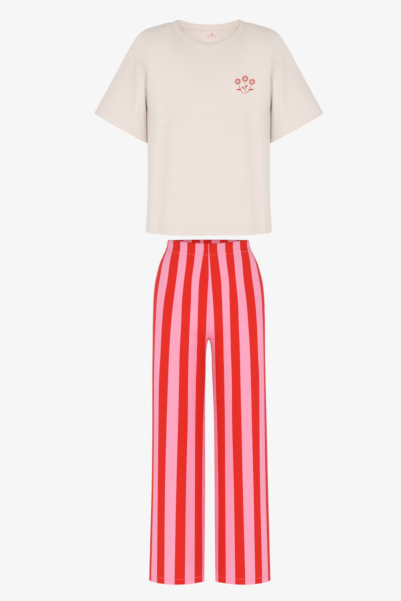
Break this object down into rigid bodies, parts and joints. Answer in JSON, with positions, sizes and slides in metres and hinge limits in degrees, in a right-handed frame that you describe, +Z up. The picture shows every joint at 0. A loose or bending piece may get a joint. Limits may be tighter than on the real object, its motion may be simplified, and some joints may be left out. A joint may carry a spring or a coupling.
{
  "type": "pyjama set of T-shirt and wide-leg trousers",
  "caption": "Loose T-shirt with dropped elbow-length sleeves above high-waisted wide striped trousers, both filled out as worn and open at neck, cuffs, waist and hems.",
  "frame": {"origin": "midway between the shoulders, level with the highest point of the neckband", "axes": "front faces -Y, the wearer's left is +X, +Z up"},
  "size_m": [0.6972, 0.2592, 1.7215],
  "materials": {
    "cream_jersey": "matt fine cotton jersey",
    "cream_rib": "matt 1x1 rib knit",
    "striped_cloth": "soft cloth with red and pink stripes down the leg, slight sheen"
  },
  "bodies": {
    "root": {"shirt_front": "cream_jersey", "shirt_back": "cream_jersey", "sleeve_left": "cream_jersey", "sleeve_right": "cream_jersey", "neckband": "cream_rib", "trouser_front_left": "striped_cloth", "trouser_front_right": "striped_cloth", "trouser_back_left": "striped_cloth", "trouser_back_right": "striped_cloth", "waist_casing": "striped_cloth"}
  },
  "joints": []
}
